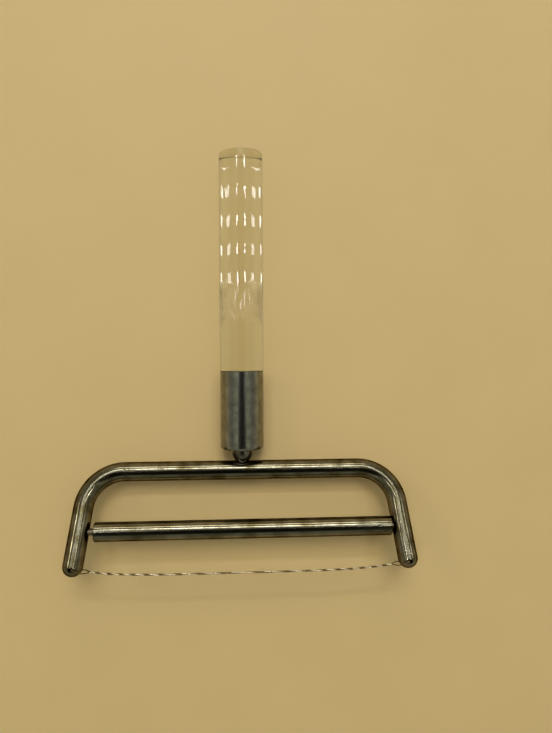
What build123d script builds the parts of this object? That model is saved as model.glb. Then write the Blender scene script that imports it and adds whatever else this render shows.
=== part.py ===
from build123d import *
from math import atan2, ceil, cos, hypot, pi, radians, sin, tan
import os

# A wire cheese slicer: a clear acrylic handle rod cemented into a steel ferrule, a bent round-rod
# frame on a turned neck, a roller that spins on an axle between the frame's legs, and a cutting wire
# of two twisted strands looped through the leg tips. All sizes are in millimetres.
#
# The slicer lies as on a table: +Y runs along the handle away from the frame, +Z is up, and the frame
# tilts up from the handle's axis. While it is built, the handle's axis is the Y axis and the ferrule's
# bottom face is at y = 0. At the end everything moves so that the origin is below the middle of the
# whole slicer, on the table.

# Handle rod
rod_diameter = 19.0
rod_visible_length = 94.0
rod_end_chamfer = 0.35
tenon_diameter = 14.9
tenon_length = 22.0

# Ferrule
ferrule_diameter = 18.8
ferrule_length = 34.0
ferrule_rim_chamfer = 0.25
ferrule_edge_radius = 1.7
cement_gap = 0.05
tenon_end_gap = 0.5

# Neck stud between the ferrule and the bar
shank_diameter = 6.0
shank_length = 9.0
shank_chamfer = 0.5
bowl_diameter = 9.5
bowl_lip = 0.6
neck_diameter = 5.8
weld_diameter = 4.4
weld_height = 0.15
ferrule_to_bar = 9.0

# Bent rod frame
bar_diameter = 8.2
corner_span = 130.6
bend_radius = 16.4
leg_length = 38.5
leg_splay = 5.2
frame_tilt = 22.0
socket_depth = 4.4

# Cutting wire and its holes
wire_hole_diameter = 1.6
wire_hole_past_dome = 1.7
strand_diameter = 0.42
strand_gap = 0.02
wire_hug_gap = 0.3
wire_inset = 0.45
eye_length = 7.2
eye_spread = 0.9
eye_bend_radius = 0.6
twist_entry_radius = 3.0
wire_bow = 1.65
bow_power = 5
half_turns = 18
twist_bias = 0.5
stations_per_half_turn = 4
strand_sides = 8
bend_step = 20.0
eye_run_steps = 5

# Roller and axle
roller_distance = 25.1
roller_diameter = 8.0
roller_wall = 1.0
roller_chamfer = 0.3
roller_end_float = 1.7
roller_stop_gap = 0.15
bush_length = 10.0
bush_recess = 0.2
bush_chamfer = 0.4
axle_diameter = 3.0
axle_clearance = 0.05
axle_end_gap = 0.25
axle_chamfer = 0.3

# Places that follow from the sizes above
bar_radius = bar_diameter / 2
roller_radius = roller_diameter / 2
bar_centre = (0, -ferrule_to_bar, 0)
splay_slope = tan(radians(leg_splay))
half_corner_span = corner_span / 2
roller_drop = roller_distance * cos(radians(leg_splay))
leg_half_width = bar_radius / cos(radians(leg_splay))

# The frame's plane: its x runs along the bar, its y back towards the handle, its z out of the plane's
# upper face. Places in it are written as (across, drop), where drop is the distance down from the bar.
plane_normal = (0, sin(radians(frame_tilt)), cos(radians(frame_tilt)))
frame_plane = Plane(origin=bar_centre, x_dir=(1, 0, 0), z_dir=plane_normal)


def in_frame(across, drop, height=0.0):
    """A point of the frame's plane, as a point of the slicer."""
    return frame_plane.from_local_coords(Vector(across, -drop, height))


def leg_centre(drop):
    """How far out the right leg's centre line is at a distance down from the bar."""
    return half_corner_span + drop * splay_slope


def inner_leg_face(drop):
    """How far out the right leg's inner side is at a distance down from the bar."""
    return leg_centre(drop) - leg_half_width


def turned(diameter, length, start):
    """A round bar along +Y from y = start."""
    return Solid.make_cylinder(diameter / 2, length, Plane((0, start, 0), z_dir=(0, 1, 0)))


def make_handle_rod():
    """The clear rod: a plain cylinder with a tenon turned on its lower end."""
    rod = turned(rod_diameter, rod_visible_length, ferrule_length)
    rod = rod.chamfer(rod_end_chamfer, None, rod.edges().sort_by(Axis.Y)[-1:])
    tenon = turned(tenon_diameter, tenon_length, ferrule_length - tenon_length)
    return rod + tenon


def make_ferrule():
    """The steel socket: a bore for the tenon, a tapped hole in its floor and a rounded bottom edge."""
    outer = ferrule_diameter / 2
    bore = tenon_diameter / 2 + cement_gap
    hole = shank_diameter / 2
    floor = ferrule_length - tenon_length - tenon_end_gap
    with BuildPart() as ferrule:
        with BuildSketch(Plane.XY):
            with BuildLine():
                rim = Line((bore, ferrule_length), (outer - ferrule_rim_chamfer, ferrule_length))
                bevel = Line(rim @ 1, (outer, ferrule_length - ferrule_rim_chamfer))
                side = Line(bevel @ 1, (outer, ferrule_edge_radius))
                edge = TangentArc(side @ 1, (outer - ferrule_edge_radius, 0), tangent=(0, -1))
                face = Line(edge @ 1, (hole, 0))
                thread = Line(face @ 1, (hole, floor))
                seat = Line(thread @ 1, (bore, floor))
                Line(seat @ 1, rim @ 0)
            make_face()
        revolve(axis=Axis.Y)
    return ferrule.part


def make_neck_stud():
    """The turned stud: a shank in the ferrule's floor, a bowl-shaped shoulder and a weld at the bar."""
    bowl_radius = bowl_diameter / 2
    neck_radius = neck_diameter / 2
    weld_radius = weld_diameter / 2
    shank_radius = shank_diameter / 2
    bar_top = ferrule_to_bar - bar_radius
    weld_start = bar_top - weld_height
    with BuildPart() as stud:
        with BuildSketch(Plane.XY):
            with BuildLine():
                top = Line((0, shank_length), (shank_radius - shank_chamfer, shank_length))
                bevel = Line(top @ 1, (shank_radius, shank_length - shank_chamfer))
                side = Line(bevel @ 1, (shank_radius, 0))
                face = Line(side @ 1, (bowl_radius, 0))
                lip = Line(face @ 1, (bowl_radius, -bowl_lip))
                bowl = TangentArc(lip @ 1, (neck_radius, -weld_start), tangent=(0, -1))
                weld = Line(bowl @ 1, (weld_radius, -bar_top))
                skirt = Line(weld @ 1, (weld_radius, -ferrule_to_bar))
                foot = Line(skirt @ 1, (0, -ferrule_to_bar))
                Line(foot @ 1, (0, shank_length))
            make_face()
        revolve(axis=Axis.Y)
    bar_start = Plane(in_frame(-half_corner_span, 0), z_dir=(1, 0, 0))
    bar = Solid.make_cylinder(bar_radius, corner_span, bar_start)
    return (stud.part - bar).solids().sort_by(Axis.Y)[-1]


def make_axle_socket(side):
    """The blind hole for the axle in one leg, along the roller's axis; side is 1 or -1."""
    radius = axle_diameter / 2 + axle_clearance
    mouth = side * inner_leg_face(roller_drop)
    inside = Plane(in_frame(mouth - side * bar_radius, roller_drop), z_dir=(side, 0, 0))
    return Solid.make_cylinder(radius, bar_radius + socket_depth, inside)


def near_tip(side, inward, height, past_hole=0.0):
    """A point near one leg's tip; side is 1 or -1.

    The hole's axis is at inward = 0, and inward grows square to the leg, towards the other one.
    past_hole counts along the leg, from the hole towards the tip."""
    hole_drop = (leg_length + wire_hole_past_dome + past_hole) * cos(radians(leg_splay))
    across = leg_centre(hole_drop) - inward * cos(radians(leg_splay))
    return in_frame(side * across, hole_drop + inward * sin(radians(leg_splay)), height)


def make_wire_hole(side):
    """The hole across one leg's tip, square to the frame's plane; side is 1 or -1."""
    start = Plane(near_tip(side, 0, -bar_diameter), z_dir=frame_plane.z_dir)
    return Solid.make_cylinder(wire_hole_diameter / 2, 2 * bar_diameter, start)


def make_frame():
    """The bent rod: bar, two bends and two splayed legs with domed tips, then its four holes."""
    tip_drop = leg_length * cos(radians(leg_splay))
    tip_across = leg_centre(tip_drop)
    corners = [
        in_frame(-tip_across, tip_drop),
        in_frame(-half_corner_span, 0),
        in_frame(half_corner_span, 0),
        in_frame(tip_across, tip_drop),
    ]
    path = FilletPolyline(*corners, radius=bend_radius)
    section = Plane(origin=path @ 0, z_dir=path % 0) * Circle(bar_radius)
    rod = sweep(section, path=path)
    for tip in (corners[0], corners[-1]):
        rod += Location(tip) * Sphere(bar_radius)
    for side in (-1, 1):
        rod -= make_axle_socket(side)
        rod -= make_wire_hole(side)
    return rod


def twist_angle(share):
    """The strands' turn at a share of the twisted length; the twist is tighter near both ends."""
    return pi * half_turns * (share + twist_bias * sin(2 * pi * share) / (2 * pi))


def arc_points(centre, radius, start, end):
    """Points on an arc, in steps of about bend_step degrees."""
    steps = max(2, ceil(abs(end - start) / radians(bend_step)))
    angles = [start + (end - start) * step / steps for step in range(steps + 1)]
    return [(centre[0] + radius * cos(a), centre[1] + radius * sin(a)) for a in angles]


def eye_route(strand_height):
    """One strand's way round a leg tip, from inside the hole to the start of the twist.

    The points are (inward, height, past_hole), as near_tip takes them. The strand swings out along
    the leg on its way, so that the eye stands open in the frame's plane too."""
    strand_radius = strand_diameter / 2
    dome_height = (bar_radius**2 - wire_hole_past_dome**2) ** 0.5
    hug_radius = dome_height + strand_radius + wire_hug_gap
    twist_start = (eye_length, strand_height)
    reach = hypot(*twist_start)
    fall = atan2(hug_radius, (reach**2 - hug_radius**2) ** 0.5) - atan2(strand_height, eye_length)
    corner = (wire_inset, strand_height + (eye_length - wire_inset) * tan(fall))
    # The strand rises in the hole, turns over its mouth and runs straight down to the twist.
    turn = pi / 2 + fall
    bend_tangent = eye_bend_radius * tan(turn / 2)
    bend_centre = (wire_inset + eye_bend_radius, corner[1] - bend_tangent)
    points = [(wire_inset, 0.0)]
    points += arc_points(bend_centre, eye_bend_radius, pi, pi - turn)
    # It levels out into the twist on a wider arc.
    entry_tangent = twist_entry_radius * tan(fall / 2)
    entry_centre = (eye_length + entry_tangent, strand_height + twist_entry_radius)
    entry = arc_points(entry_centre, twist_entry_radius, -pi / 2 - fall, -pi / 2)
    run_start = points[-1]
    for step in range(1, eye_run_steps):
        share = step / eye_run_steps
        points.append(tuple(a + (b - a) * share for a, b in zip(run_start, entry[0])))
    points += entry
    open_length = points[-1][0] - wire_inset
    swings = [sin(pi * (inward - wire_inset) / open_length) ** 2 for inward, height in points]
    return [(*point, eye_spread * swing) for point, swing in zip(points, swings)]


def strand_points(sign):
    """The middle line of one strand, from the left hole to the right one; sign is 1 or -1.

    Between the two eyes the strand winds round a line that bows away from the roller."""
    strand_height = (strand_diameter + strand_gap) / 2
    route = eye_route(strand_height)
    start = frame_plane.to_local_coords(near_tip(1, route[-1][0], 0))
    left = [near_tip(-1, inward, sign * height, sign * swing) for inward, height, swing in route]
    stations = half_turns * stations_per_half_turn
    middle = []
    for station in range(1, stations):
        share = station / stations
        across = start.X * (2 * share - 1)
        angle = twist_angle(share)
        bow = wire_bow * (1 - abs(2 * share - 1) ** bow_power)
        drop = -start.Y + bow + sign * strand_height * sin(angle)
        middle.append(in_frame(across, drop, sign * strand_height * cos(angle)))
    last = sign if half_turns % 2 == 0 else -sign
    right = [near_tip(1, inward, last * height, last * swing) for inward, height, swing in route[::-1]]
    return left + middle + right


def make_strand(points):
    """A round strand along a line of points, with its joints mitred."""
    runs = [(b - a).normalized() for a, b in zip(points, points[1:])]
    sections = []
    for place, point in enumerate(points):
        before = runs[max(0, place - 1)]
        after = runs[min(place, len(runs) - 1)]
        along = (before + after).normalized()
        cross_section = RegularPolygon(strand_diameter / 2, strand_sides)
        sections.append(Plane(point, x_dir=frame_plane.y_dir, z_dir=along) * cross_section)
    return loft(sections, ruled=True)


def make_cutting_wire():
    """The closed loop of wire: two twisted strands that meet inside both tip holes."""
    return make_strand(strand_points(1)) + make_strand(strand_points(-1))


def roller_ends():
    """The roller's left and right ends along the bar, with the roller pushed to the right."""
    right = inner_leg_face(roller_drop - roller_radius) - roller_stop_gap
    left = -right + roller_end_float
    return left, right


def on_roller_axis(radius, left, right):
    """A round bar on the roller's axis."""
    start = Plane(in_frame(left, roller_drop), z_dir=(1, 0, 0))
    return Solid.make_cylinder(radius, right - left, start)


def rims(bar):
    """A bar's round edges, from left to right."""
    return bar.edges().filter_by(GeomType.CIRCLE).sort_by(Axis.X)


def make_roller_tube():
    """The roller's tube, with its outer edges broken."""
    left, right = roller_ends()
    tube = on_roller_axis(roller_radius, left, right)
    tube = tube.chamfer(roller_chamfer, None, rims(tube))
    return tube - on_roller_axis(roller_radius - roller_wall, left, right)


def make_roller_bush(side):
    """A bush pressed into one end of the roller, its inner end chamfered; side is 1 or -1."""
    left, right = roller_ends()
    outer = right - bush_recess if side > 0 else left + bush_recess
    ends = sorted((outer, outer - side * bush_length))
    bush = on_roller_axis(roller_radius - roller_wall, *ends)
    inner_rim = rims(bush)[0 if side > 0 else -1]
    bush = bush.chamfer(bush_chamfer, None, [inner_rim])
    return bush - on_roller_axis(axle_diameter / 2 + axle_clearance, *ends)


def make_roller_axle():
    """The axle through the roller into both legs' sockets."""
    reach = inner_leg_face(roller_drop) + socket_depth - axle_end_gap
    axle = on_roller_axis(axle_diameter / 2, -reach, reach)
    return axle.chamfer(axle_chamfer, None, rims(axle))


pieces = {
    "handle_rod": make_handle_rod(),
    "ferrule": make_ferrule(),
    "neck_stud": make_neck_stud(),
    "frame": make_frame(),
    "cutting_wire": make_cutting_wire(),
    "roller_tube": make_roller_tube(),
    "roller_bush_left": make_roller_bush(-1),
    "roller_bush_right": make_roller_bush(1),
    "roller_axle": make_roller_axle(),
}

whole = Compound(list(pieces.values())).bounding_box()
to_origin = Location((-whole.center().X, -whole.center().Y, -whole.min.Z))

os.makedirs("parts", exist_ok=True)
for name, piece in pieces.items():
    export_step(to_origin * piece, os.path.join("parts", name + ".step"))
    print(name, "solids", len(piece.solids()), "volume", round(piece.volume, 2), "valid", piece.is_valid)

ferrule_at = to_origin.position
roller_at = in_frame(0, roller_drop) + ferrule_at
print("ferrule bottom", tuple(round(v, 4) for v in ferrule_at))
print("roller axis", tuple(round(v, 4) for v in roller_at))
print("roller ends", tuple(round(v, 4) for v in roller_ends()))
print("overall", tuple(round(v, 3) for v in whole.size))
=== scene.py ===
# %% [markdown]
# # A wire cheese slicer
#
# This script gives looks to a CAD model of a small kitchen tool: a clear acrylic handle in a steel
# ferrule, a bent rod frame, a roller that sets the slice's thickness, and a cutting wire of two
# twisted strands. The CAD model arrives first, as a fixed frame that nothing here moves. Its bare
# metal pieces keep their own meshes and get a finish. Three pieces are built again in finer mesh,
# because light passes through them or they are too fine and too curved for a CAD mesh: the clear
# rod, the neck with its brazed joint, and the wire.

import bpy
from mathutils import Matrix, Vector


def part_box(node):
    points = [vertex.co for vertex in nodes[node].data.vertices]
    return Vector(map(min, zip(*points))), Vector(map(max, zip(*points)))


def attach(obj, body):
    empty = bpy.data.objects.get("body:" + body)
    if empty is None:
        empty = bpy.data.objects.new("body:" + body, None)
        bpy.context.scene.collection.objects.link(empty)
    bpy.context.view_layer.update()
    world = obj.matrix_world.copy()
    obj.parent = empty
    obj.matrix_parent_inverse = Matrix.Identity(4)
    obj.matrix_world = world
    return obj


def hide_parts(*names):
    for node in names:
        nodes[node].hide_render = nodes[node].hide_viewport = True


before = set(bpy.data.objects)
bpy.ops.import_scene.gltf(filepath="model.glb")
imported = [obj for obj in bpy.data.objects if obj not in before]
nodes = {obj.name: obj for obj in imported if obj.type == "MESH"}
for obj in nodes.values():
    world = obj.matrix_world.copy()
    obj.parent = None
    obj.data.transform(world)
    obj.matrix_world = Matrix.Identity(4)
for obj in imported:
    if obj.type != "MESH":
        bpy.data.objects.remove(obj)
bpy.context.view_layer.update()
print("CAD nodes:", ", ".join(sorted(nodes)))

# %% [markdown]
# ## Units
#
# The CAD drawing is in millimetres and Blender counts in metres. So every size of the slicer is
# written in millimetres, and its points go through one small function. Only the table, the room and
# the lamps are written in metres. The slicer lies on the table at z = 0, its handle runs along +Y,
# and its bent frame tilts up from the handle's axis.

# %% Units and main places
import math

import bpy
from mathutils import Matrix, Vector


def mm(x, y, z):
    """A point given in millimetres, in Blender's metres."""
    return Vector((x, y, z)) / 1000


rod_low, rod_high = (1000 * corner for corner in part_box("handle_rod"))
ferrule_low, ferrule_high = (1000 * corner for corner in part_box("ferrule"))
handle_height = (rod_low.z + rod_high.z) / 2
ferrule_bottom = ferrule_low.y
ferrule_top = ferrule_high.y
print("handle axis", round(handle_height, 2), "mm up")
print("ferrule from", round(ferrule_bottom, 2), "to", round(ferrule_top, 2), "mm along it")

# %% [markdown]
# ## The camera
#
# The photograph looks straight down on the table from about 27 cm, as a hand-held camera does. A
# camera object can be turned by angles, but here its three axes are worked out and put in a matrix,
# because two of them are known: the way it looks, and which way is up in the picture. The real
# slicer had rolled a few degrees onto one side, so the camera leans by that angle and the slicer
# stays level.

# %% Camera
LONG_SIDE_PIXELS = 733
FOCAL_PIXELS = 600
SENSOR_MM = 36
CAMERA_PLACE = mm(-1.3, -3.8, 271.1)
ROLL = math.radians(3.55)
PICTURE_UP = Vector((0.0063, 1.0, 0.0004))

camera = bpy.data.cameras.new("camera")
camera.lens = FOCAL_PIXELS / LONG_SIDE_PIXELS * SENSOR_MM
camera.sensor_width = SENSOR_MM
camera.clip_start = 0.01
camera.clip_end = 20
camera_object = bpy.data.objects.new("camera", camera)
bpy.context.scene.collection.objects.link(camera_object)

backward = Vector((-math.sin(ROLL), 0, math.cos(ROLL)))
right = PICTURE_UP.cross(backward).normalized()
up = backward.cross(right)
turn = Matrix((right, up, backward)).transposed().to_4x4()
camera_object.matrix_world = Matrix.Translation(CAMERA_PLACE) @ turn
bpy.context.scene.camera = camera_object
print("lens", round(camera.lens, 2), "mm")

# %% [markdown]
# ## Colours and nodes
#
# Colours are written as the hex values that a picture editor shows. Those are sRGB, and a shader
# wants linear light, so one function turns one into the other. Nodes could be made one by one, each
# with a line for its making, its settings and its links. One function that does all three keeps a
# material short enough to read, and every material below is made with it.

# %% Colours and nodes
SAND = "#BAA372"
SAND_LIGHT = "#C0A978"


def linear(hex_colour):
    """A shader's colour for an sRGB hex value such as SAND."""
    shares = [int(hex_colour[at:at + 2], 16) / 255 for at in (1, 3, 5)]
    return [s / 12.92 if s <= 0.04045 else ((s + 0.055) / 1.055) ** 2.4 for s in shares] + [1.0]


def add(tree, kind, inputs=None, **settings):
    """One new node, with its settings and inputs.

    An input is a plain value, a socket to link, or a node whose first output is linked."""
    node = tree.nodes.new(kind)
    for name, value in settings.items():
        setattr(node, name, value)
    for place, value in (inputs or {}).items():
        if isinstance(value, bpy.types.Node):
            value = value.outputs[0]
        if isinstance(value, bpy.types.NodeSocket):
            tree.links.new(value, node.inputs[place])
        else:
            node.inputs[place].default_value = value
    return node


def per_mm(size):
    """The scale that makes a pattern's features about size millimetres across."""
    return 1000 / size


print("sand in linear light:", [round(c, 3) for c in linear(SAND)[:3]])

# %% [markdown]
# ## The table
#
# The real one is a plain laminate top, pressed matt, in a sand colour. Polished metal and clear
# plastic take most of their look from what surrounds them, so its tone is matched and the rest stays
# plain.
# It could be a single colour. Two near tones and a slightly uneven gloss, in clouds about 40 mm
# across, keep it from looking like paper.

# %% Table
def start_material(name):
    """A new material without nodes, and its node tree."""
    material = bpy.data.materials.new(name)
    material.use_nodes = True
    material.node_tree.nodes.clear()
    return material, material.node_tree


TABLE_HALF_SIZE = 3.0
CLOUD_MM = 40
table, tree = start_material("laminate_matt_sand")
place = add(tree, "ShaderNodeTexCoord").outputs["Object"]
cloud = add(tree, "ShaderNodeTexNoise", {"Vector": place, "Scale": per_mm(CLOUD_MM), "Detail": 3.0})
shade = add(
    tree, "ShaderNodeMix", {0: cloud, 6: linear(SAND), 7: linear(SAND_LIGHT)}, data_type="RGBA"
)
gloss = add(tree, "ShaderNodeMapRange", {"Value": cloud, "To Min": 0.5, "To Max": 0.6})
shader = add(
    tree,
    "ShaderNodeBsdfPrincipled",
    {"Base Color": shade.outputs[2], "Roughness": gloss, "Specular IOR Level": 0.3},
)
add(tree, "ShaderNodeOutputMaterial", {"Surface": shader})

floor_mesh = bpy.data.meshes.new("table")
h = TABLE_HALF_SIZE
floor_mesh.from_pydata([(-h, -h, 0), (h, -h, 0), (h, h, 0), (-h, h, 0)], [], [(0, 1, 2, 3)])
floor_mesh.materials.append(table)
floor = bpy.data.objects.new("table", floor_mesh)
bpy.context.scene.collection.objects.link(floor)
print("table", 2 * h, "m square")

# %% [markdown]
# ## The room
#
# A shiny bar is a curved mirror. Seen from above, its middle shows what is overhead, the zone to
# each side shows the walls, and its outer edges show the table. In the photograph the bar has a
# nearly black band along its middle, so something dark and narrow hangs right over it, with a
# lighter ceiling to both sides. A picture of a real room could be wrapped round the scene. Here a
# ramp from the horizon up to the ceiling and one dark patch do the same, and show what matters. Both
# follow direction alone, so the room stays put when the camera moves.

# %% Room
WALLS = [(0.0, "#D6C7A2"), (0.16, "#CABFA2"), (0.34, "#9F9C8B"), (0.60, "#8A8C80"), (0.82, "#B4B6A4")]
OVERHEAD = "#151310"
NEAR_EDGE = (-1.1, -0.5)
FAR_EDGE = (0.6, 0.15)
SIDE_EDGE = (0.45, 0.28)

room = bpy.data.worlds.new("room")
bpy.context.scene.world = room
room.use_nodes = True
tree = room.node_tree
tree.nodes.clear()
way = add(tree, "ShaderNodeTexCoord").outputs["Generated"]
parts = add(tree, "ShaderNodeSeparateXYZ", {"Vector": way}).outputs
walls = add(tree, "ShaderNodeValToRGB", {"Fac": parts["Z"]})
ramp = walls.color_ramp
for at, colour in WALLS[1:-1]:
    ramp.elements.new(at)
for element, (at, colour) in zip(ramp.elements, WALLS):
    element.position = at
    element.color = linear(colour)

# Each edge of the dark patch is a pair of slopes, in metres to the side for each metre up: the
# first is where the patch begins to show, the second where it is whole.
across = add(tree, "ShaderNodeMath", {0: parts["X"], 1: parts["Z"]}, operation="DIVIDE")
across = add(tree, "ShaderNodeMath", {0: across}, operation="ABSOLUTE")
along = add(tree, "ShaderNodeMath", {0: parts["Y"], 1: parts["Z"]}, operation="DIVIDE")
patch = 1.0
for slope, (nothing, whole) in ((along, NEAR_EDGE), (along, FAR_EDGE), (across, SIDE_EDGE)):
    edge = add(
        tree,
        "ShaderNodeMapRange",
        {"Value": slope, "From Min": nothing, "From Max": whole},
        interpolation_type="SMOOTHSTEP",
    )
    patch = add(tree, "ShaderNodeMath", {0: patch, 1: edge}, operation="MULTIPLY")
seen = add(
    tree, "ShaderNodeMix", {0: patch, 6: walls.outputs[0], 7: linear(OVERHEAD)}, data_type="RGBA"
)
light = add(tree, "ShaderNodeBackground", {"Color": seen.outputs[2], "Strength": 1.0})
add(tree, "ShaderNodeOutputWorld", {"Surface": light})
bpy.context.scene.view_settings.view_transform = "Standard"
print("room colours:", ", ".join(colour for at, colour in WALLS))

# %% [markdown]
# ## The lamps
#
# Each bright mark on a round, shiny thing says where a lamp hangs. The clear rod shows rows of short
# marks, an equal step apart: short ceiling tubes in two ranks, left and right of the table. The bar
# has a thin white streak and a broader cream one, from a strip and a panel at two heights behind it,
# and the legs have lines from a panel at either side. The lamps could be aimed by eye, but it is
# quicker to work back from a mark: the surface's slope there gives the direction of its lamp. One
# soft lamp that no reflection shows gives most of the light, and the shadow.

# %% Lamps
def add_lamp(name, place, target, width, depth, power, colour):
    """A rectangular lamp in metres and watts that faces a point."""
    lamp = bpy.data.lights.new(name, "AREA")
    lamp.shape = "RECTANGLE"
    lamp.size = width
    lamp.size_y = depth
    lamp.energy = power
    lamp.color = linear(colour)[:3]
    lamp_object = bpy.data.objects.new(name, lamp)
    bpy.context.scene.collection.objects.link(lamp_object)
    facing = Vector(target) - Vector(place)
    lamp_object.location = place
    lamp_object.rotation_euler = facing.to_track_quat("-Z", "Y").to_euler()
    return lamp_object


CEILING = 2.2
TUBE_SLOPE = 0.365
FIRST_ROW = 0.116
ROW_STEP = 0.0565
ROWS = 6
TUBE_LENGTH = 0.165
TUBE_WIDTH = 0.044
TUBE_WATTS = 0.9
TUBE_WHITE = "#FBFBFF"
COOL_WHITE = "#F8FAFF"
WARM_WHITE = "#FFF6E4"
SOFT_WHITE = "#FFF3DC"
SLICER = (0, 0, 0)

for row in range(ROWS):
    for side in (-1, 1):
        spot = Vector((side * TUBE_SLOPE, FIRST_ROW + row * ROW_STEP, 1)) * CEILING
        below = spot - Vector((0, 0, 1))
        add_lamp(f"tube_{row}_{side}", spot, below, TUBE_LENGTH, TUBE_WIDTH, TUBE_WATTS, TUBE_WHITE)

add_lamp("strip", (0, 1.58, CEILING), SLICER, 1.3, 0.18, 16.0, COOL_WHITE)
add_lamp("panel_middle", (0, 1.12, CEILING), SLICER, 1.2, 0.50, 2.4, COOL_WHITE)
add_lamp("panel_behind", (0, 2.75, 1.62), SLICER, 1.8, 0.55, 15.0, WARM_WHITE)
panel_left = add_lamp("panel_left", (-2.5, 1.3, CEILING), SLICER, 0.55, 0.45, 9.0, WARM_WHITE)
panel_right = add_lamp("panel_right", (2.5, 1.3, CEILING), SLICER, 0.55, 0.45, 3.0, WARM_WHITE)
soft = add_lamp("fill", (0, 0.95, CEILING), SLICER, 0.6, 0.6, 17.0, SOFT_WHITE)
soft.visible_glossy = False
soft.visible_transmission = False
print(2 * ROWS, "tubes, a strip, four panels and a soft lamp")

# %% [markdown]
# ## Turned pieces
#
# The rod and the neck were turned in a lathe, on the handle's axis. Blender's Screw modifier could
# spin their outlines. One helper of our own does it here, because the neck's foot also has to follow
# the bar. It takes a list of (radius, place along the axis) pairs and spins them into rings. Edges
# sharper than 30 degrees are marked sharp, and everything else shades smoothly.

# %% Turned pieces
SHARP_ANGLE = math.radians(30)


def new_piece(name, points, faces, material):
    """A mesh object with smooth faces and crisp corners, from points in millimetres."""
    mesh = bpy.data.meshes.new(name)
    mesh.from_pydata([mm(*p) for p in points], [], faces)
    mesh.update()
    mesh.shade_smooth()
    mesh.set_sharp_from_angle(angle=SHARP_ANGLE)
    mesh.materials.append(material)
    piece = bpy.data.objects.new(name, mesh)
    bpy.context.scene.collection.objects.link(piece)
    return piece


def spin(profile, sides, reach=None):
    """Points and faces of a closed turned shape; its profile starts and ends on the axis.

    The profile runs towards the handle's end, so that the faces look outwards. reach, where given,
    says how far a point moves along the axis, from its height and place."""
    points, rings = [], []
    for radius, along in profile:
        start = len(points)
        count = sides if radius > 0 else 1
        for step in range(count):
            angle = 2 * math.pi * step / sides
            x, z = radius * math.cos(angle), radius * math.sin(angle)
            shift = reach(z, along) if reach else 0.0
            points.append((x, along + shift, handle_height + z))
        rings.append([start + step for step in range(count)])
    faces = []
    for lower, upper in zip(rings, rings[1:]):
        for step in range(sides):
            after = (step + 1) % sides
            corners = [lower[step % len(lower)], upper[step % len(upper)]]
            corners += [upper[after % len(upper)], lower[after % len(lower)]]
            faces.append([c for at, c in enumerate(corners) if c not in corners[:at]])
    return points, faces


print("a test disc has", len(spin([(0, 0), (1, 0), (0, 1)], 12)[1]), "faces")

# %% [markdown]
# ## Clear acrylic
#
# The handle is a length of cast acrylic rod with polished ends, IOR 1.49. What the eye gets is a
# thick cylinder lens. Light goes in, bounces off the back and comes out as bright marks near both
# sides. A half transparent material would be quicker and show none of them, so this one bends and
# mirrors light as glass does. Handling leaves fine scuffs along the rod, closest together in one
# patch a third of the way up. They are about 0.05 mm wide on the real rod and are drawn 0.45 mm
# wide, so that they show. Lamp light goes straight through to the table, because the real rod casts
# hardly any shadow.

# %% Clear acrylic
ACRYLIC_IOR = 1.49
SCUFF_WIDTH = 0.45
SCUFF_STRETCH = 0.03
SCUFF_DEPTH = 0.2
SCUFFS_ELSEWHERE = 0.01
PATCH_MIDDLE = 23.5
PATCH_HALF = 11.0
PATCH_CORE = 4.4

acrylic, tree = start_material("acrylic_cast_polished")
place = add(tree, "ShaderNodeTexCoord").outputs["Object"]
drawn_out = add(tree, "ShaderNodeMapping", {"Vector": place, "Scale": (1.0, SCUFF_STRETCH, 1.0)})
scuffs = add(
    tree, "ShaderNodeTexNoise", {"Vector": drawn_out, "Scale": per_mm(SCUFF_WIDTH), "Detail": 0.0}
)
along = add(tree, "ShaderNodeSeparateXYZ", {"Vector": place}).outputs["Y"]
off_patch = add(tree, "ShaderNodeMath", {0: along, 1: PATCH_MIDDLE / 1000}, operation="SUBTRACT")
off_patch = add(tree, "ShaderNodeMath", {0: off_patch}, operation="ABSOLUTE")
worn = add(
    tree,
    "ShaderNodeMapRange",
    {
        "Value": off_patch,
        "From Min": PATCH_HALF / 1000,
        "From Max": PATCH_CORE / 1000,
        "To Min": SCUFFS_ELSEWHERE,
    },
    interpolation_type="SMOOTHSTEP",
)
ridges = add(
    tree, "ShaderNodeBump", {"Strength": worn, "Distance": SCUFF_DEPTH / 1000, "Height": scuffs}
)
glass = add(
    tree,
    "ShaderNodeBsdfPrincipled",
    {
        "Base Color": linear("#FBFCF8"),
        "Roughness": 0.015,
        "IOR": ACRYLIC_IOR,
        "Transmission Weight": 1.0,
        "Normal": ridges,
    },
)
straight = add(tree, "ShaderNodeBsdfTransparent", {"Color": linear("#F6F5EE")})
ray = add(tree, "ShaderNodeLightPath").outputs
lighting = add(
    tree,
    "ShaderNodeMath",
    {0: ray["Is Shadow Ray"], 1: ray["Is Diffuse Ray"]},
    operation="MAXIMUM",
)
either = add(tree, "ShaderNodeMixShader", {0: lighting, 1: glass, 2: straight})
add(tree, "ShaderNodeOutputMaterial", {"Surface": either})
print("acrylic: IOR", ACRYLIC_IOR, "and a scuffed patch", 2 * PATCH_HALF, "mm long")

# %% [markdown]
# ## The clear rod
#
# The CAD rod has the right shape in flat facets, and a clear material shows them: smooth shading
# hides a facet's edges, but light still enters and leaves at the flat. So the rod is spun again with
# 192 sides. Its lower end is a thinner tenon in the ferrule, and its end has a small rounding. The
# side panels would draw one long line down the rod. Light linking keeps them off it.

# %% Clear rod
ROD_RADIUS = 9.5
TENON_RADIUS = 7.45
END_ROUNDING = 0.35
ROUNDING_STEPS = 4
SEAT_GAP = 0.02
ROD_SIDES = 192

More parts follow.
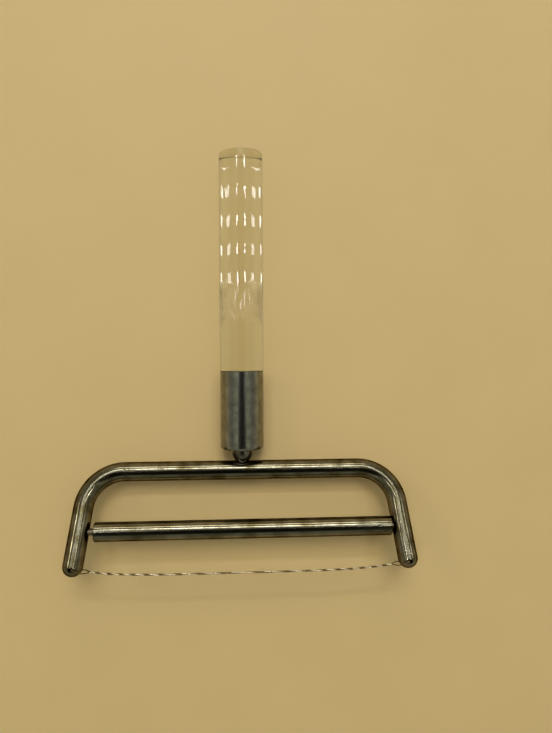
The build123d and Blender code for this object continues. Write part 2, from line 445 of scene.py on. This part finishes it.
tenon_end = rod_low.y
rod_end = rod_high.y
rod_profile = [(0, tenon_end), (TENON_RADIUS, tenon_end), (TENON_RADIUS, ferrule_top + SEAT_GAP)]
rod_profile += [(ROD_RADIUS, ferrule_top + SEAT_GAP), (ROD_RADIUS, rod_end - 2 * END_ROUNDING)]
for step in range(ROUNDING_STEPS + 1):
    angle = math.radians(90 * step / ROUNDING_STEPS)
    rim = ROD_RADIUS - END_ROUNDING * (1 - math.cos(angle))
    rod_profile.append((rim, rod_end - END_ROUNDING * (1 - math.sin(angle))))
rod_profile.append((0, rod_end))
rod = new_piece("handle_rod_clear", *spin(rod_profile, ROD_SIDES), acrylic)
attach(rod, "handle_frame")
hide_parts("handle_rod")

spared = bpy.data.collections.new("spared_by_side_panels")
spared.objects.link(rod)
spared.collection_objects[0].light_linking.link_state = "EXCLUDE"
for panel in (panel_left, panel_right):
    panel.light_linking.receiver_collection = spared
print("rod", round(rod_end - ferrule_top, 2), "mm clear of the ferrule")
print("rod of", len(rod.data.polygons), "faces")

# %% [markdown]
# ## A finish for bare metal
#
# Six metal finishes follow, and they are built the same way, so one function makes them. Photographs
# of metal could be laid on, but noise has no seams and its sizes can be set in millimetres. A broad
# noise stains the colour, a fine one makes pits and specks, and both feed the roughness, because a
# stain or a pit is duller than the polish around it. Real pits are under 0.1 mm across and are drawn
# 0.25 to 0.5 mm, so that they show. Where the metal was ground or polished round and round, its fine
# scratches smear each highlight along the piece. Anisotropic gloss does that, and it needs a
# direction: the tangent.

# %% Metal finish
STAIN_FROM = 0.38
STAIN_TO = 0.68
PIT_EDGE = 0.12


def metal_finish(
    name, clean, stained, polish, dull, stain_mm, pit_mm, pit_depth, pits_above, smear=0.0
):
    """A stained and pitted metal.

    Its nodes named colour, dents and shader can be looked up and linked further."""
    material, tree = start_material(name)
    place = add(tree, "ShaderNodeTexCoord").outputs["Object"]
    broad = {"Vector": place, "Scale": per_mm(stain_mm), "Detail": 4.0}
    stain = add(tree, "ShaderNodeTexNoise", broad)
    stain = add(
        tree, "ShaderNodeMapRange", {"Value": stain, "From Min": STAIN_FROM, "From Max": STAIN_TO}
    )
    fine = {"Vector": place, "Scale": per_mm(pit_mm), "Detail": 2.0}
    grit = add(tree, "ShaderNodeTexNoise", fine)
    pits = add(
        tree,
        "ShaderNodeMapRange",
        {"Value": grit, "From Min": pits_above, "From Max": pits_above + PIT_EDGE},
        interpolation_type="SMOOTHSTEP",
    )
    worst = add(tree, "ShaderNodeMath", {0: stain, 1: pits}, operation="MAXIMUM")
    colour = add(
        tree,
        "ShaderNodeMix",
        {0: worst, 6: linear(clean), 7: linear(stained)},
        data_type="RGBA",
        name="colour",
    )
    roughness = add(tree, "ShaderNodeMapRange", {"Value": worst, "To Min": polish, "To Max": dull})
    dents = add(
        tree,
        "ShaderNodeBump",
        {"Strength": 1.0, "Distance": -pit_depth / 1000, "Height": pits},
        name="dents",
    )
    shader = add(
        tree,
        "ShaderNodeBsdfPrincipled",
        {
            "Base Color": colour.outputs[2],
            "Metallic": 1.0,
            "Roughness": roughness,
            "Normal": dents,
            "Anisotropic": smear,
        },
        name="shader",
    )
    add(tree, "ShaderNodeOutputMaterial", {"Surface": shader})
    return material


def dress(node_name, material):
    """Gives a CAD node's faces one material."""
    faces = nodes[node_name].data
    faces.materials.clear()
    faces.materials.append(material)
    print(node_name, "dressed,", len(faces.polygons), "faces")


own_mesh = sorted(set(nodes) - {"handle_rod", "neck_stud", "cutting_wire"})
print("metal pieces that keep their mesh:", ", ".join(own_mesh))

# %% [markdown]
# ## The ferrule: satin stainless steel
#
# It was turned from bar and rubbed down along its length, so it is smooth but not a mirror: the
# reflections of ceiling and table stay in upright bands with soft borders. A brushed texture would
# be too coarse for it. Instead the roughness is low and uneven, with fine pits that give the same
# speckle as in the photograph.

# %% Ferrule
satin = metal_finish(
    "stainless_steel_satin_turned",
    clean="#98978B",
    stained="#706E63",
    polish=0.15,
    dull=0.24,
    stain_mm=3.0,
    pit_mm=0.25,
    pit_depth=0.003,
    pits_above=0.48,
)
dress("ferrule", satin)

# %% [markdown]
# ## The shape of the bent rod
#
# The frame is one steel rod, bent twice. Its finish needs two directions at each point: along the
# rod, because grinding smears each lamp that way, and straight out of the rod. The mesh could give
# the second, but its long thin faces blur it along the top of the bar. Both follow from the place on
# the rod by plain geometry: straight along the bar, turning about a bend's centre, then straight
# down the splayed leg. The angle turned so far is 0 on the bar and grows through the bend.

# %% Bent rod
BAR_BELOW_FERRULE = 9.0
BAR_RADIUS = 4.1
BEND_RADIUS = 16.4
HALF_CORNER_SPAN = 65.3
SPLAY = math.radians(5.2)
FRAME_TILT = math.radians(22)
ON_ROD_FROM = 3.95
ON_ROD_TO = 4.06

LEG_TURN = math.pi / 2 - SPLAY
BEND_START = HALF_CORNER_SPAN - BEND_RADIUS * math.tan(LEG_TURN / 2)
BAR_CENTRE = Vector((0, ferrule_bottom - BAR_BELOW_FERRULE, handle_height))
DOWN_FRAME = Vector((0, -math.cos(FRAME_TILT), math.sin(FRAME_TILT)))
OUT_OF_FRAME = Vector((0, math.sin(FRAME_TILT), math.cos(FRAME_TILT)))


def rod_shape(tree):
    """Sockets for the bent rod's own direction and its true round normal."""
    place = add(tree, "ShaderNodeTexCoord").outputs["Object"]
    offset = add(tree, "ShaderNodeVectorMath", {0: place, 1: mm(*BAR_CENTRE)}, operation="SUBTRACT")
    shares = []
    for way in (DOWN_FRAME, OUT_OF_FRAME):
        share = add(tree, "ShaderNodeVectorMath", {0: offset, 1: way}, operation="DOT_PRODUCT")
        shares.append(share.outputs["Value"])
    drop, lift = shares
    across = add(tree, "ShaderNodeSeparateXYZ", {"Vector": place}).outputs["X"]
    side = add(tree, "ShaderNodeMath", {0: across}, operation="SIGN")
    outward = add(tree, "ShaderNodeMath", {0: across}, operation="ABSOLUTE")

    # The angle turned so far, about the centre of the bend, and its cosine and sine.
    beyond = add(tree, "ShaderNodeMath", {0: outward, 1: BEND_START / 1000}, operation="SUBTRACT")
    above = add(tree, "ShaderNodeMath", {0: BEND_RADIUS / 1000, 1: drop}, operation="SUBTRACT")
    turned = add(tree, "ShaderNodeMath", {0: beyond, 1: above}, operation="ARCTAN2")
    turned = add(tree, "ShaderNodeClamp", {"Value": turned, "Min": 0.0, "Max": LEG_TURN})
    level = add(tree, "ShaderNodeMath", {0: turned}, operation="COSINE")
    fall = add(tree, "ShaderNodeMath", {0: turned}, operation="SINE")
    fall_side = add(tree, "ShaderNodeMath", {0: fall, 1: side}, operation="MULTIPLY")

    # Along the rod: level along X, plus the fall down the frame.
    level_part = add(tree, "ShaderNodeCombineXYZ", {"X": level})
    fall_part = add(tree, "ShaderNodeVectorMath", {0: DOWN_FRAME, "Scale": fall_side}, operation="SCALE")
    direction = add(tree, "ShaderNodeVectorMath", {0: level_part, 1: fall_part}, operation="ADD")

    # Out of the rod: from its middle line to the point, in the frame's plane and out of it.
    side_part = add(tree, "ShaderNodeCombineXYZ", {"X": fall_side})
    down_part = add(tree, "ShaderNodeVectorMath", {0: DOWN_FRAME, "Scale": level}, operation="SCALE")
    in_plane = add(tree, "ShaderNodeVectorMath", {0: side_part, 1: down_part}, operation="SUBTRACT")
    reach = add(tree, "ShaderNodeMath", {0: beyond, 1: fall}, operation="MULTIPLY")
    reach = add(tree, "ShaderNodeMath", {0: above, 1: level, 2: reach}, operation="MULTIPLY_ADD")
    aside = add(tree, "ShaderNodeMath", {0: reach, 1: BEND_RADIUS / 1000}, operation="SUBTRACT")
    aside = add(tree, "ShaderNodeVectorMath", {0: in_plane, "Scale": aside}, operation="SCALE")
    lift = add(tree, "ShaderNodeVectorMath", {0: OUT_OF_FRAME, "Scale": lift}, operation="SCALE")
    radial = add(tree, "ShaderNodeVectorMath", {0: aside, 1: lift}, operation="ADD")
    unit = add(tree, "ShaderNodeVectorMath", {0: radial}, operation="NORMALIZE")

    # Only the round surface has that normal. In the holes and sockets the mesh keeps its own.
    radius = add(tree, "ShaderNodeVectorMath", {0: radial}, operation="LENGTH").outputs["Value"]
    limits = {"Value": radius, "From Min": ON_ROD_FROM / 1000, "From Max": ON_ROD_TO / 1000}
    on_rod = add(tree, "ShaderNodeMapRange", limits)
    own = add(tree, "ShaderNodeNewGeometry").outputs["Normal"]
    normal = add(tree, "ShaderNodeMix", {0: on_rod, 4: own, 5: unit}, data_type="VECTOR")
    return direction.outputs[0], normal.outputs[1]


print("bends start", round(BEND_START, 2), "mm from the middle of the bar")

# %% [markdown]
# ## The bent frame: worn nickel plate
#
# The rod was ground round before it was bent and nickel plated, so each lamp smears into a long
# streak that follows the bar, the bends and the legs. Age has left brown stains on the plate. Metal
# shines whiter towards its edges, and stained plate less so, which a dark specular tint gives.

# %% Frame
GRAZING_TINT = "#6F6350"

plated_rod = metal_finish(
    "nickel_plate_ground_worn",
    clean="#7E7966",
    stained="#50482F",
    polish=0.11,
    dull=0.20,
    stain_mm=5.0,
    pit_mm=0.5,
    pit_depth=0.004,
    pits_above=0.58,
    smear=0.8,
)
tree = plated_rod.node_tree
shader = tree.nodes["shader"]
direction, normal = rod_shape(tree)
tree.links.new(direction, shader.inputs["Tangent"])
tree.links.new(normal, tree.nodes["dents"].inputs["Normal"])
shader.inputs["Specular Tint"].default_value = linear(GRAZING_TINT)
dress("frame", plated_rod)

# %% [markdown]
# ## The roller
#
# A plated tube of the same kind, ground round and round, so its tangent is its axis. It is straight,
# so it needs no geometry of its own: Blender's radial tangent runs round the X axis, and a quarter
# turn of the anisotropy lays the smear along it. The bushes in its ends and the axle are plain
# turned steel, browned by damp, with no plate and far less shine.

# %% Roller
QUARTER_TURN = 0.25

plated_tube = metal_finish(
    "nickel_plate_ground_tube",
    clean="#847F6C",
    stained="#564E36",
    polish=0.11,
    dull=0.20,
    stain_mm=7.0,
    pit_mm=0.4,
    pit_depth=0.003,
    pits_above=0.60,
    smear=0.8,
)
tree = plated_tube.node_tree
shader = tree.nodes["shader"]
around = add(tree, "ShaderNodeTangent", direction_type="RADIAL", axis="X")
tree.links.new(around.outputs[0], shader.inputs["Tangent"])
shader.inputs["Anisotropic Rotation"].default_value = QUARTER_TURN
shader.inputs["Specular Tint"].default_value = linear(GRAZING_TINT)
dress("roller_tube", plated_tube)

browned = metal_finish(
    "steel_turned_browned",
    clean="#8E8372",
    stained="#5D4E3C",
    polish=0.28,
    dull=0.45,
    stain_mm=1.5,
    pit_mm=0.4,
    pit_depth=0.008,
    pits_above=0.55,
)
for turned_part in ("roller_axle", "roller_bush_left", "roller_bush_right"):
    dress(turned_part, browned)

# %% [markdown]
# ## The neck
#
# Under the ferrule sits a small dark stud, turned with a bowl-shaped shoulder and plated with dull
# nickel. Its foot is brazed to the bar, and the braze has flowed out into a thin skirt that follows
# the round of the bar. Two solids could be joined and the seam rounded, but a bevel that thin breaks
# easily. Instead the foot's rings are spun flat, and each point then drops onto the bar by the bar's
# own curve.

# %% Neck
BOWL_RADIUS = 4.75
BOWL_LIP = 0.6
BOWL_LENGTH = 4.15
BOWL_STEPS = 14
NECK_RADIUS = 2.9
SHANK_RADIUS = 2.98
SHANK_TIP_RADIUS = 2.5
SHANK_CHAMFER = 0.5
SHANK_LENGTH = 9.0
SKIRT_HEIGHT = 0.05
SKIRT_REACH = 2.5
SKIRT_RINGS = [(2.35, 0.10), (2.15, 0.05), (2.10, 0.035), (2.12, 0.02), (2.2, 0.008), (2.45, 0.0)]
NECK_SIDES = 96
crest = ferrule_bottom - BAR_BELOW_FERRULE + BAR_RADIUS


def onto_bar(height, along):
    """How far a point of the braze skirt moves to lie on the bar's round."""
    near = max(0.0, min(1.0, 1 - (along - crest) / SKIRT_HEIGHT))
    beside = min(abs(height), SKIRT_REACH)
    return near * ((BAR_RADIUS**2 - beside**2) ** 0.5 - BAR_RADIUS)


dark_nickel = metal_finish(
    "nickel_plate_dark",
    clean="#7E786A",
    stained="#3F3A30",
    polish=0.14,
    dull=0.30,
    stain_mm=2.5,
    pit_mm=0.4,
    pit_depth=0.006,
    pits_above=0.58,
)
neck_profile = [(0, SHANK_LENGTH), (SHANK_TIP_RADIUS, SHANK_LENGTH)]
neck_profile += [(SHANK_RADIUS, SHANK_LENGTH - SHANK_CHAMFER), (SHANK_RADIUS, 0)]
neck_profile += [(BOWL_RADIUS, 0), (BOWL_RADIUS, -BOWL_LIP)]
narrowing = BOWL_RADIUS - NECK_RADIUS
bowl_arc = (narrowing**2 + BOWL_LENGTH**2) / (2 * narrowing)
for step in range(1, BOWL_STEPS + 1):
    angle = math.asin(BOWL_LENGTH / bowl_arc) * step / BOWL_STEPS
    inset = bowl_arc * (1 - math.cos(angle))
    neck_profile.append((BOWL_RADIUS - inset, -BOWL_LIP - bowl_arc * math.sin(angle)))
neck_profile = [(radius, ferrule_bottom + along) for radius, along in neck_profile]
neck_profile += [(radius, crest + above) for radius, above in SKIRT_RINGS]
neck_profile.append((0, crest))
neck_profile.reverse()
neck = new_piece("neck_stud_brazed", *spin(neck_profile, NECK_SIDES, onto_bar), dark_nickel)
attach(neck, "handle_frame")
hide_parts("neck_stud")
print("neck", len(neck.data.polygons), "faces")

# %% [markdown]
# ## The cutting wire's route
#
# One length of thin spring steel goes through the hole in a leg's tip, over to the other leg and
# back, and the two strands are twisted together. The strands wind round a line that bows away from
# the roller, tighter near both legs. A curve object with a bevel could follow a few hand-placed
# points. The same formulas that drew the CAD wire are used instead, with more steps, so the finer
# wire lies just where the CAD wire is.

# %% Wire route
STRAND_RADIUS = 0.21
STRAND_GAP = 0.02
LEG_LENGTH = 38.5
HOLE_PAST_DOME = 1.7
HUG_GAP = 0.3
WIRE_INSET = 0.45
EYE_LENGTH = 7.2
EYE_SPREAD = 0.9
EYE_RUN_STEPS = 8
EYE_BEND_RADIUS = 0.6
ENTRY_RADIUS = 3.0
WIRE_BOW = 1.65
BOW_POWER = 5
HALF_TURNS = 18
TWIST_BIAS = 0.5
STEPS_PER_HALF_TURN = 14
ARC_STEP = math.radians(7)


def in_frame(across, drop, lift=0.0):
    """A point of the frame's plane in millimetres, drop counted down from the bar."""
    return BAR_CENTRE + Vector((across, 0, 0)) + DOWN_FRAME * drop + OUT_OF_FRAME * lift


def near_tip(side, inward, lift, past_hole=0.0):
    """A point near one leg's tip, inward from the hole's axis, square to the leg, or along it."""
    hole_drop = (LEG_LENGTH + HOLE_PAST_DOME + past_hole) * math.cos(SPLAY)
    across = HALF_CORNER_SPAN + hole_drop * math.tan(SPLAY) - inward * math.cos(SPLAY)
    return in_frame(side * across, hole_drop + inward * math.sin(SPLAY), lift)


def arc(centre, radius, start, end):
    """Points on an arc in small steps."""
    steps = math.ceil(abs(end - start) / ARC_STEP)
    angles = [start + (end - start) * step / steps for step in range(steps + 1)]
    return [(centre[0] + radius * math.cos(a), centre[1] + radius * math.sin(a)) for a in angles]


def eye_route(strand_height):
    """One strand's way round a leg's tip to the twist, as (inward, lift, past_hole)."""
    hug = (BAR_RADIUS**2 - HOLE_PAST_DOME**2) ** 0.5 + STRAND_RADIUS + HUG_GAP
    reach = math.hypot(EYE_LENGTH, strand_height)
    fall = math.asin(hug / reach) - math.atan2(strand_height, EYE_LENGTH)
    corner_lift = strand_height + (EYE_LENGTH - WIRE_INSET) * math.tan(fall)
    turn = math.pi / 2 + fall
    bend_middle = (WIRE_INSET + EYE_BEND_RADIUS, corner_lift - EYE_BEND_RADIUS * math.tan(turn / 2))
    entry_middle = (EYE_LENGTH + ENTRY_RADIUS * math.tan(fall / 2), strand_height + ENTRY_RADIUS)
    bend = arc(bend_middle, EYE_BEND_RADIUS, math.pi, math.pi - turn)
    entry = arc(entry_middle, ENTRY_RADIUS, -math.pi / 2 - fall, -math.pi / 2)
    start, end = Vector(bend[-1]), Vector(entry[0])
    run = [tuple(start.lerp(end, step / EYE_RUN_STEPS)) for step in range(1, EYE_RUN_STEPS)]
    route = bend + run + entry
    open_length = entry[-1][0] - WIRE_INSET
    swings = []
    for inward, lift in route:
        share = (inward - WIRE_INSET) / open_length
        swings.append(EYE_SPREAD * math.sin(math.pi * share) ** 2)
    return [(*point, swing) for point, swing in zip(route, swings)]


def strand_line(sign):
    """The middle line of one strand from the left hole to the right one."""
    lift = STRAND_RADIUS + STRAND_GAP / 2
    route = eye_route(lift)
    twist_start = near_tip(1, route[-1][0], 0) - BAR_CENTRE
    half_span = twist_start.x
    base_drop = twist_start.dot(DOWN_FRAME)
    line = [near_tip(-1, inward, sign * height, sign * swing) for inward, height, swing in route]
    stations = HALF_TURNS * STEPS_PER_HALF_TURN
    for station in range(1, stations):
        share = station / stations
        wound = share + TWIST_BIAS * math.sin(2 * math.pi * share) / (2 * math.pi)
        angle = math.pi * HALF_TURNS * wound
        bow = WIRE_BOW * (1 - abs(2 * share - 1) ** BOW_POWER)
        drop = base_drop + bow + sign * lift * math.sin(angle)
        line.append(in_frame(half_span * (2 * share - 1), drop, sign * lift * math.cos(angle)))
    last = sign if HALF_TURNS % 2 == 0 else -sign
    for inward, height, swing in reversed(route):
        line.append(near_tip(1, inward, last * height, last * swing))
    return line


loop = strand_line(1) + strand_line(-1)[::-1]
length = sum((b - a).length for a, b in zip(loop, loop[1:] + loop[:1]))
print("wire loop", round(length, 1), "mm long,", len(loop), "points")

# %% [markdown]
# ## The cutting wire's finish and mesh
#
# Drawn spring steel, browned with age. On the crests of the twist the colour is a bright steel. Partly
# that is wear, where cheese and cloth rub the brown off. Partly it is a painted highlight for the glints
# where the strand tops catch the lamps, and so the wire looks dashed from afar. A striped texture would
# need a map that follows the twist. The crest is simply where a strand lies highest above the frame's
# plane, so the height gives the mask.

# %% Wire
# The crests' bright steel colour is rubbed wear and a painted highlight together.
RUBBED_STEEL_AND_HIGHLIGHT = "#D8CCAE"
RUB_AND_HIGHLIGHT_EDGE = 0.18
RUB_AND_HIGHLIGHT_CORE = 0.04
WIRE_SIDES = 12


def ring_tube(line, radius, sides):
    """A round tube along a closed line, with its rings square to it."""
    points, faces = [], []
    count = len(line)
    for at, point in enumerate(line):
        ahead = (line[(at + 1) % count] - line[at - 1]).normalized()
        first = (DOWN_FRAME - ahead * DOWN_FRAME.dot(ahead)).normalized()
        second = ahead.cross(first)
        for step in range(sides):
            angle = 2 * math.pi * step / sides
            points.append(point + radius * (math.cos(angle) * first + math.sin(angle) * second))
    for at in range(count):
        for step in range(sides):
            after = (step + 1) % sides
            here, there = at * sides, (at + 1) % count * sides
            faces.append((here + step, here + after, there + after, there + step))
    return points, faces


spring_wire = metal_finish(
    "spring_steel_wire_drawn",
    clean="#86734C",
    stained="#5E4A2B",
    polish=0.25,
    dull=0.42,
    stain_mm=1.2,
    pit_mm=0.5,
    pit_depth=0.004,
    pits_above=0.60,
)
tree = spring_wire.node_tree
place = add(tree, "ShaderNodeTexCoord").outputs["Object"]
offset = add(tree, "ShaderNodeVectorMath", {0: place, 1: mm(*BAR_CENTRE)}, operation="SUBTRACT")
height = add(tree, "ShaderNodeVectorMath", {0: offset, 1: OUT_OF_FRAME}, operation="DOT_PRODUCT")
off_crest = add(
    tree,
    "ShaderNodeMath",
    {0: height.outputs["Value"], 1: 2 * STRAND_RADIUS / 1000},
    operation="SUBTRACT",
)
off_crest = add(tree, "ShaderNodeMath", {0: off_crest}, operation="ABSOLUTE")
# Wear and painted highlight: this mask is 1 on each strand's top, where the bright steel colour goes.
rubbed_and_highlit = add(
    tree,
    "ShaderNodeMapRange",
    {"Value": off_crest, "From Min": RUB_AND_HIGHLIGHT_EDGE / 1000, "From Max": RUB_AND_HIGHLIGHT_CORE / 1000},
    interpolation_type="SMOOTHSTEP",
)
colour = add(
    tree,
    "ShaderNodeMix",
    {0: rubbed_and_highlit, 6: tree.nodes["colour"].outputs[2], 7: linear(RUBBED_STEEL_AND_HIGHLIGHT)},
    data_type="RGBA",
)
tree.links.new(colour.outputs[2], tree.nodes["shader"].inputs["Base Color"])

wire = new_piece("cutting_wire_strands", *ring_tube(loop, STRAND_RADIUS, WIRE_SIDES), spring_wire)
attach(wire, "handle_frame")
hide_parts("cutting_wire")
print("wire of", len(wire.data.polygons), "faces")

# %% [markdown]
# ## Finish
#
# The last line brings the view layer up to date, so that every piece stands where it is attached.

# %% Finish
bpy.context.view_layer.update()
